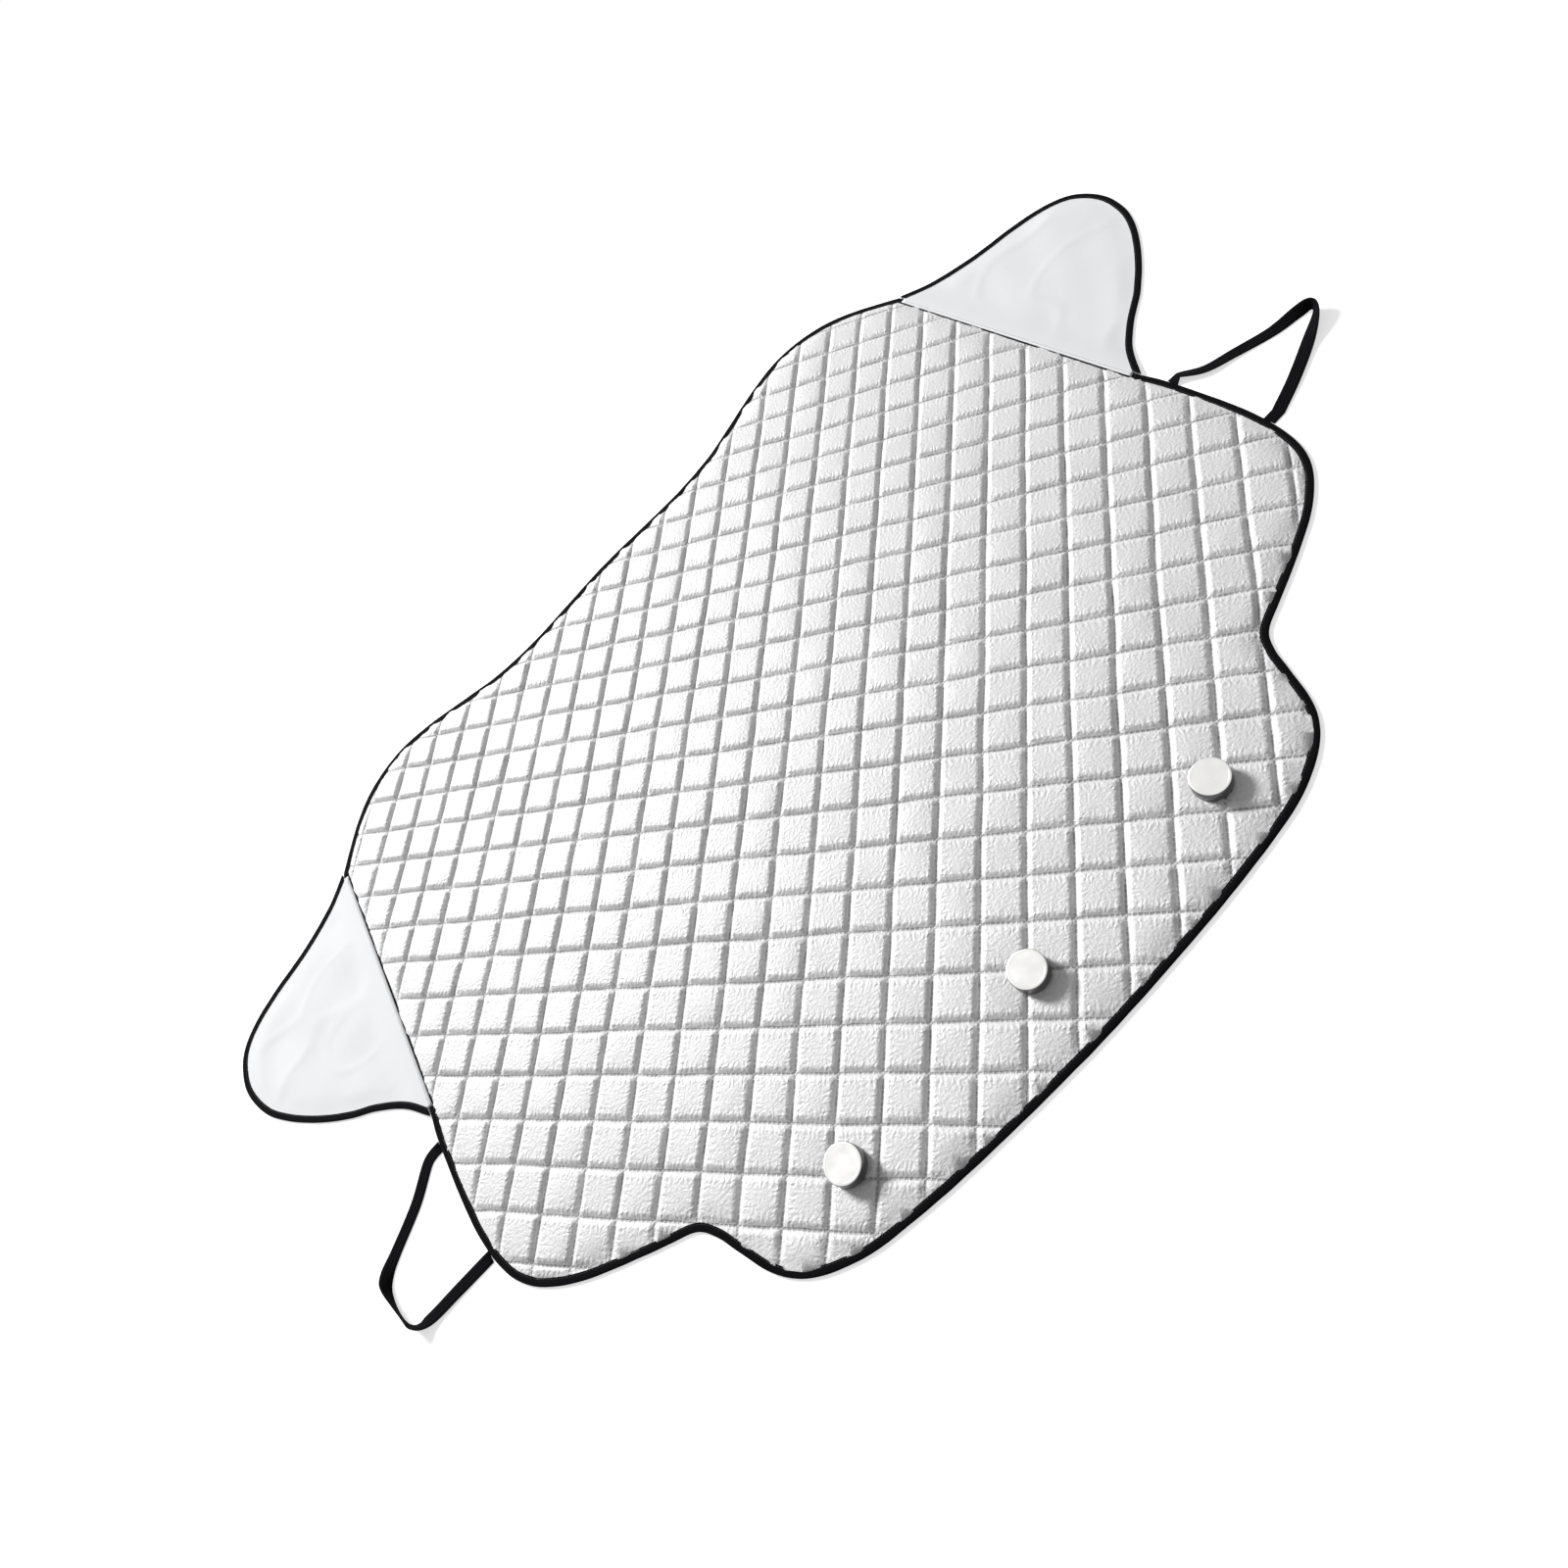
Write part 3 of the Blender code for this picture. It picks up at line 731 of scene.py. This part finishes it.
def ruled_blank(outline, directions):
    """The outline as one flat face, cut across each direction at the given distances."""
    body = bmesh.new()
    body.faces.new([body.verts.new((*place, 0)) for place in outline])
    for direction, cuts in directions:
        normal = Vector((*direction, 0))
        beyond = list(body.faces)
        for cut in cuts:
            verts = {vertex for face in beyond for vertex in face.verts}
            edges = {edge for face in beyond for edge in face.edges}
            geom = [*verts, *edges, *beyond]
            plane = {"plane_co": normal * cut, "plane_no": normal}
            faces = faces_of(bmesh.ops.bisect_plane(body, geom=geom, dist=SAME_PLACE, **plane))
            far = cut + SAME_PLACE
            beyond = [face for face in faces if max(vertex.co.dot(normal) for vertex in face.verts) > far]
    return body


def build_pad(foil, lining):
    """The quilted pad: a flat blank cut along the quilting, doubled for the lining, closed round
    its rim and then shaped."""
    crossing = math.remainder(QUILT_CROSSING_Y - CENTRE[1], SQUARE_DIAGONAL)
    outline = PAD_EDGE - PAD_EDGE_INSET * side_normals(PAD_EDGE, True)
    directions = []
    for slant in (1, -1):
        direction = np.array((slant, 1)) * math.sqrt(0.5)
        reach = outline @ direction
        level = crossing * math.sqrt(0.5)
        first, last = ((end - level) / QUILT_PITCH for end in (reach.min(), reach.max()))
        squares = range(math.floor(first), math.ceil(last))
        cells = [square + part for square in squares for part in SQUARE_LINES]
        cuts = [level + cell * QUILT_PITCH for cell in cells if first < cell < last]
        directions.append((direction, cuts))
    body = ruled_blank(outline, directions)
    back = faces_of(bmesh.ops.duplicate(body, geom=[*body.verts, *body.edges, *body.faces]))
    bmesh.ops.reverse_faces(body, faces=back)
    for face in back:
        face.material_index = 1
        for vertex in face.verts:
            vertex.co.z = BACK_MARK_Z
    bmesh.ops.bridge_loops(body, edges=[edge for edge in body.edges if edge.is_boundary])
    piece = new_piece("foil_pad", body, foil, lining)
    shape_pad(piece.data, crossing)
    dress(piece, "quilted_foil", "quilted_pad")


def shape_pad(mesh, crossing):
    """Gives the flat blank its pillows on top and its pressed lines on the back."""
    places = places_of(mesh)
    is_back = places[:, 2] < BACK_MARK_Z / 2
    plan = places[:, :2]
    depth = edge_distance(PAD_EDGE, plan)
    up = plan[:, 1] - crossing
    cells = np.c_[(plan[:, 0] + up) / SQUARE_DIAGONAL, (up - plan[:, 0]) / SQUARE_DIAGONAL]
    write_map(mesh, "quilt", cells)
    rise = quilt_rise(cells)
    bound = ease(TAPE_LEG - 0.001, TAPE_LEG + EDGE_FADE, depth)
    lie = FOIL_LIE_WIDE * ripple(plan, 0.22, 3) + FOIL_LIE_NARROW * ripple(plan, 0.07, 4)
    top = VALLEY_Z + bound * (PILLOW_RISE * rise + lie * rise + VALLEY_FILL * (1 - rise))
    top = np.where(depth < TAPED_RIM, RIM_HIGH_Z, top)
    for centre in magnet_centres().values():
        gap = np.linalg.norm(plan - centre, axis=1)
        pressed = 1 - ease(MAGNET_DENT, MAGNET_DENT_END, gap)
        top = top * (1 - pressed) + np.minimum(top, MAGNET_DENT_Z) * pressed
    groove = GROOVE_DEPTH * (1 - ease(0.02, 0.12, np.abs(cells - np.rint(cells)).min(1)))
    back = np.where(depth < TAPED_RIM, RIM_LOW_Z, RIM_LOW_Z * (1 - bound) + groove * bound)
    places[:, 0] += FOIL_SHIFT * bound * ripple(plan, 0.16, 8)
    places[:, 1] += FOIL_SHIFT * bound * ripple(plan, 0.16, 9)
    places[:, 2] = np.where(is_back, back, top)
    mesh.vertices.foreach_set("co", places.astype(np.float32).ravel())
    mesh.update()


# Binding tape


def tape_section(slot_height):
    """Folded tape's section: x outward from the bound edge, z from the middle of what it binds."""
    slot = slot_height / 2 + CLEARANCE * 0.7
    outside = slot_height / 2 + CLEARANCE + TAPE_THICKNESS
    upper = (
        (-TAPE_LEG, slot),
        (-TAPE_LEG - 0.0001, outside - 0.0003),
        (-TAPE_LEG + 0.0004, outside - 0.0001),
        (-TAPE_LEG + 0.0012, outside - 0.0001),
        (-TAPE_LEG + 0.0018, outside - 0.0004),
        (-TAPE_LEG + 0.0024, outside),
        (-0.0045, outside + 0.0003),
        (-0.0015, outside + 0.0001),
        (TAPE_REACH - 0.0006, outside - 0.0004),
        (TAPE_REACH, outside * 0.45),
    )
    inner = ((CLEARANCE * 0.7, slot * 0.9), (-0.004, slot))
    below = [(x, -z) for x, z in upper[::-1]]
    return np.array([*upper, *below, (inner[1][0], -inner[1][1]), (inner[0][0], -inner[0][1]), *inner])


def tape_rings(line, outward, middle_of, section, seed, stop_at=None):
    """Rings of the section along a line, each corner at its own height over the cloth, with slight
    puckering. Corners that would reach past the line of stop_at slide out to it."""
    along = run_along(line)
    places = np.c_[along, 0 * along]
    wobble = TAPE_WOBBLE * ripple(places, 0.05, seed)
    swell = 1 + TAPE_PUCKER * ripple(places, 0.016, seed + 1)
    plan = line[:, None, :] + outward[:, None, :] * (section[None, :, 0:1] + wobble[:, None, None])
    if stop_at:
        low, out, start = stop_at
        headings = np.gradient(line, axis=0)
        for corners, heading in zip(plan, headings):
            short = np.maximum(start - (corners - low) @ out, 0)
            corners += (short / (heading @ out))[:, None] * heading if short.any() else 0
    middle = middle_of(plan.reshape(-1, 2)).reshape(plan.shape[:2])
    height = middle + section[None, :, 1] * np.where(section[None, :, 1] > 0, swell[:, None], 1)
    return np.dstack([plan, height]), along


def evenly(line, step):
    """The same line with its points about a step apart."""
    along = run_along(line)
    wanted = np.linspace(0, along[-1], max(2, round(along[-1] / step) + 1))
    return np.c_[np.interp(wanted, along, line[:, 0]), np.interp(wanted, along, line[:, 1])]


def sewn_line(name, line, pitch, height_of, finish):
    """Stitches along a line, at the height that the plan gives them."""
    points = evenly(line, pitch)
    heights = height_of(points)
    headings = np.c_[np.gradient(points, axis=0), np.gradient(heights)]
    return stitch_row(name, np.c_[points, heights], headings, finish)


def build_pad_tape(tape, thread):
    """The binding all round the pad, whose ends meet under the right wing's lap, and its stitches."""
    start = int(np.argmin(np.linalg.norm(PAD_EDGE - (LOWER_LINE[-1] - CENTRE + TAPE_JOIN), axis=1)))
    loop = np.roll(PAD_EDGE, -start, 0)
    end = loop[:1] + TAPE_OPEN_SHARE * (loop[-1:] - loop[:1])
    line = evenly(np.vstack([loop, end]), TAPE_STEP)
    outward = side_normals(line, False)
    middle = (RIM_LOW_Z + RIM_HIGH_Z) / 2
    section = tape_section(RIM_THICKNESS)
    rings, along = tape_rings(line, outward, lambda plan: np.full(len(plan), middle), section, 21)
    dress(swept("pad_binding", rings, along, tape), "black_tape", "pad_edge_tape")
    top = middle + section[:, 1].max() - STITCH_SINK
    stitches = sewn_line(
        "pad_binding_stitches",
        line + outward * (-TAPE_LEG + TAPE_STITCH_INSET),
        TAPE_STITCH_PITCH,
        lambda plan: np.full(len(plan), top),
        thread,
    )
    dress(stitches, "black_tape")


# Wings


def root_frame(side):
    """Start of the wing's root line, its direction and the direction out along the wing."""
    low = (np.array(LOWER_EDGE[-1]) - CENTRE) * (side, 1)
    high = (np.array(UPPER_EDGE[0]) - CENTRE) * (side, 1)
    along = (high - low) / np.linalg.norm(high - low)
    return low, along, np.array((along[1], -along[0])) * side


def cloth_height(distance_out):
    """Underside of the wing cloth, from its lap over the binding down to where it lies flat."""
    fall = np.clip(1 - (distance_out - TAPE_REACH - CLEARANCE) / WING_RAMP, 0, 1)
    return CLOTH_FLAT_Z + (CLOTH_LAP_Z - CLOTH_FLAT_Z) * fall * fall * (3 - 2 * fall)


def from_reach(line, reach, start):
    """The stretch of the line that lies further out than start, cut exactly there at both ends."""
    kept = np.nonzero(reach > start)[0]
    ends = []
    for last, beyond in ((kept[0], kept[0] - 1), (kept[-1], kept[-1] + 1)):
        share = (reach[last] - start) / (reach[last] - reach[beyond])
        ends.append(line[last] + share * (line[beyond] - line[last]))
    return np.vstack([ends[0], line[kept], ends[1]])


def wing_line(side):
    """The wing's free edge, from its upper root to its lower one."""
    return (smooth_line(WING_EDGE) - CENTRE) * (side, 1)


def wing_blank(edge, low, out):
    """Outline of the wing's cloth with its lap on the pad, notched at both ends so that the pad's
    binding runs on into its own."""
    line = from_reach(edge, (edge - low) @ out, WING_TAPE_START + CLEARANCE)
    across = (edge[-1] - edge[0]) / np.linalg.norm(edge[-1] - edge[0])
    notches = [line[-1] - WING_NOTCH * across, line[0] + WING_NOTCH * across]
    laps = [place - ((place - low) @ out + WING_LAP) * out for place in notches]
    return np.vstack([line, notches[0], laps[0], laps[1], notches[1]])


def wing_height(plan, side):
    """Underside of the wing's cloth with the soft waves and creases that it lies in."""
    low, _, out = root_frame(side)
    reach = (plan - low) @ out
    free = edge_distance(wing_line(side), plan, closed=False)
    loose = ease(TAPE_LEG, TAPE_LEG + 0.03, free) * ease(0.01, 0.05, reach)
    waves = WING_WAVE_RISE * (1 + ripple(plan, 0.13, 31 + side))
    creases = WING_CREASE_RISE * np.exp(-((ripple(plan, 0.17, 41 + side) / 0.12) ** 2))
    return cloth_height(reach) + loose * (waves + creases)


def build_wing_cloth(word, side, cloth):
    """The wing's cloth, its flat size and its flat area."""
    low, along, out = root_frame(side)
    blank = wing_blank(wing_line(side), low, out)
    body = bmesh.new()
    body.faces.new([body.verts.new((*place, 0)) for place in blank])
    for direction in (out, along):
        reach = (blank - low) @ direction
        for cut in np.arange(reach.min() + WING_MESH_STEP * 0.6, reach.max(), WING_MESH_STEP):
            bmesh.ops.bisect_plane(
                body,
                geom=[*body.verts, *body.edges, *body.faces],
                dist=SAME_PLACE,
                plane_co=(*(low + direction * cut), 0),
                plane_no=(*direction, 0),
            )
    area = sum(face.calc_area() for face in body.faces)
    plan = np.array([vertex.co[:2] for vertex in body.verts])
    for vertex, height in zip(body.verts, wing_height(plan, side)):
        vertex.co.z = height
    bmesh.ops.recalc_face_normals(body, faces=body.faces)
    if sum(face.normal.z for face in body.faces) < 0:
        bmesh.ops.reverse_faces(body, faces=body.faces)
    wing = new_piece(f"wing_cloth_{word}", body, cloth)
    thickness = wing.modifiers.new("cloth_thickness", "SOLIDIFY")
    thickness.thickness = CLOTH_THICKNESS
    thickness.offset = 1.0
    dress(wing, "wing_cloth", f"wing_flap_{word}")
    spans = [(blank - low) @ direction for direction in (out, along)]
    return wing, [span.max() - span.min() for span in spans], area


def build_wing_tape(word, side, tape, thread):
    """The binding round the wing's free edge and its stitches."""
    low, _, out = root_frame(side)
    edge = wing_line(side)
    line = evenly(from_reach(edge, (edge - low) @ out, WING_TAPE_START), TAPE_STEP)
    outward = side_normals(line, False) * -side
    section = tape_section(CLOTH_THICKNESS)

    def middle_of(plan):
        return cloth_height((plan - low) @ out) + CLOTH_THICKNESS / 2

    stop_at = (low, out, WING_TAPE_START)
    rings, run = tape_rings(line, outward, middle_of, section, 51 + side, stop_at)
    binding = swept(f"wing_binding_{word}", rings, run, tape)
    dress(binding, "black_tape", f"wing_edge_tape_{word}")
    rise = section[:, 1].max() - STITCH_SINK
    stitches = sewn_line(
        f"wing_binding_stitches_{word}",
        line + outward * (-TAPE_LEG + TAPE_STITCH_INSET),
        TAPE_STITCH_PITCH,
        lambda plan: middle_of(plan) + rise,
        thread,
    )
    dress(stitches, "black_tape")
    return binding, stitches


def build_wing_seam(word, side, thread):
    """The stitches that hold the wing's lap on the pad's binding."""
    low, along, out = root_frame(side)
    edge = wing_line(side)
    length = np.linalg.norm(edge[0] - edge[-1])
    ends = np.array([low + along * SEAM_STITCH_END, low + along * (length - SEAM_STITCH_END)])
    stitches = sewn_line(
        f"wing_seam_stitches_{word}",
        ends + out * (-WING_LAP + SEAM_STITCH_INSET),
        SEAM_STITCH_PITCH,
        lambda plan: np.full(len(plan), CLOTH_LAP_Z + CLOTH_THICKNESS + STITCH_STAND),
        thread,
    )
    return dress(stitches, "wing_cloth")


def build_wing(word, side, cloth, tape, thread, grey_thread):
    """A wing's cloth with its binding and stitches, laid on the floor and on the pad's binding."""
    wing, flat, area = build_wing_cloth(word, side, cloth)
    binding, stitches = build_wing_tape(word, side, tape, thread)
    seam_row = build_wing_seam(word, side, grey_thread)


# Mirror loops


def loop_anchor(end):
    """Where the band's end meets the pad's binding."""
    height = end[1] - CENTRE[1]
    near = PAD_EDGE[(PAD_EDGE[:, 0] > 0) & (abs(PAD_EDGE[:, 1] - height) < 0.1)]
    order = np.argsort(near[:, 1])
    across = height + np.array((-0.5, 0, 0.5)) * BAND_WIDTH
    edge_x = np.interp(across, near[order, 1], near[order, 0]).max()
    return np.array((edge_x + TAPE_REACH + 1.5 * CLEARANCE, end[1], 0.0))


def band_section():
    """The elastic's section with slightly rounded corners, anticlockwise from the lower left."""
    half, thin = BAND_WIDTH / 2, BAND_THICKNESS / 2
    lower = [(x, -thin) for x in (-half + 0.0003, -half * 0.5, half * 0.5, half - 0.0003)]
    right = [(half, -thin * 0.4), (half, thin * 0.4)]
    return np.array([*lower, *right, *((-x, -z) for x, z in lower), *((-x, -z) for x, z in right)])


def build_loop(word, side, plan, finish):
    """A flat elastic band that leaves the pad's edge, turns on edge at its far end and comes back."""
    points = np.array(plan, float)
    middle = smooth_line(points, BAND_POINTS_PER_SPAN)
    line = np.vstack([loop_anchor(points[0]), middle, loop_anchor(points[-1])])
    place = np.c_[side * line[:, 0], line[:, 1] - CENTRE[1]]
    twist = np.radians(line[:, 2])[:, None]
    rise = BAND_WIDTH / 2 * abs(np.sin(twist)) + BAND_THICKNESS / 2 * abs(np.cos(twist))
    outward = side_normals(place, False) * -side
    across, up = band_section().T
    level = across * np.cos(twist) - up * np.sin(twist)
    height = across * np.sin(twist) + up * np.cos(twist)
    flat = place[:, None, :] + outward[:, None, :] * level[:, :, None]
    rings = np.dstack([flat, rise + height])
    piece = swept(f"loop_band_{word}", rings, run_along(place), finish)
    dress(piece, "black_elastic", f"mirror_loop_{word}")


# Magnets


def build_magnet(word, centre, finish):
    """A turned disc with rounded edges and a shallow step round its face."""
    base = MAGNET_SEAT_Z + CLEARANCE
    top = base + MAGNET_HEIGHT
    face_radius = MAGNET_RADIUS - MAGNET_FACE_INSET
    profile = (
        (0.0, base),
        (MAGNET_RADIUS - MAGNET_BEVEL, base),
        (MAGNET_RADIUS - MAGNET_BEVEL_MIDDLE, base + MAGNET_BEVEL_MIDDLE),
        (MAGNET_RADIUS, base + MAGNET_BEVEL),
        (MAGNET_RADIUS, top - MAGNET_BEVEL),
        (MAGNET_RADIUS - MAGNET_BEVEL_MIDDLE, top - MAGNET_BEVEL_MIDDLE),
        (MAGNET_RADIUS - MAGNET_BEVEL, top),
        (face_radius, top),
        (face_radius - MAGNET_FACE_STEP, top - MAGNET_FACE_STEP),
        (0.0, top - MAGNET_FACE_STEP),
    )
    body = bmesh.new()
    line = [body.verts.new((r, 0, z)) for r, z in profile]
    edges = [body.edges.new(pair) for pair in zip(line, line[1:])]
    turn = {"angle": 2 * math.pi, "steps": MAGNET_SIDES, "use_merge": True}
    bmesh.ops.spin(body, geom=line + edges, cent=(0, 0, 0), axis=(0, 0, 1), **turn)
    bmesh.ops.remove_doubles(body, verts=body.verts, dist=SAME_PLACE)
    bmesh.ops.recalc_face_normals(body, faces=body.faces)
    radial = body.loops.layers.uv.new("disc")
    for face in body.faces:
        for loop in face.loops:
            loop[radial].uv = (math.hypot(loop.vert.co.x, loop.vert.co.y), loop.vert.co.z)
    bmesh.ops.translate(body, vec=(*centre, 0), verts=body.verts)
    piece = new_piece(f"magnet_disc_{word}", body, finish)
    piece.data.set_sharp_from_angle(angle=math.radians(38))
    dress(piece, "nickel_plate", f"magnet_{word}")


# The whole cover

bpy.context.scene.view_settings.view_transform = "Standard"
set_camera()
set_world()
set_lamp()
set_floor()

black_tape = tape_finish("black_binding_tape", 60, 0.00018)
black_elastic = tape_finish("black_elastic_webbing", 26, 0.00030)
black_thread = thread_finish("black_thread", (0.035, 0.035, 0.037))
grey_thread = thread_finish("grey_thread", (0.42, 0.43, 0.45))
silver_cloth = wing_finish()
nickel = nickel_finish()

build_pad(foil_finish(), lining_finish())
build_pad_tape(black_tape, black_thread)
for word, side in (("left", -1), ("right", 1)):
    build_wing(word, side, silver_cloth, black_tape, black_thread, grey_thread)
build_loop("left", -1, LEFT_LOOP, black_elastic)
build_loop("right", 1, RIGHT_LOOP, black_elastic)
for word, centre in magnet_centres().items():
    build_magnet(word, centre, nickel)

bpy.context.view_layer.update()
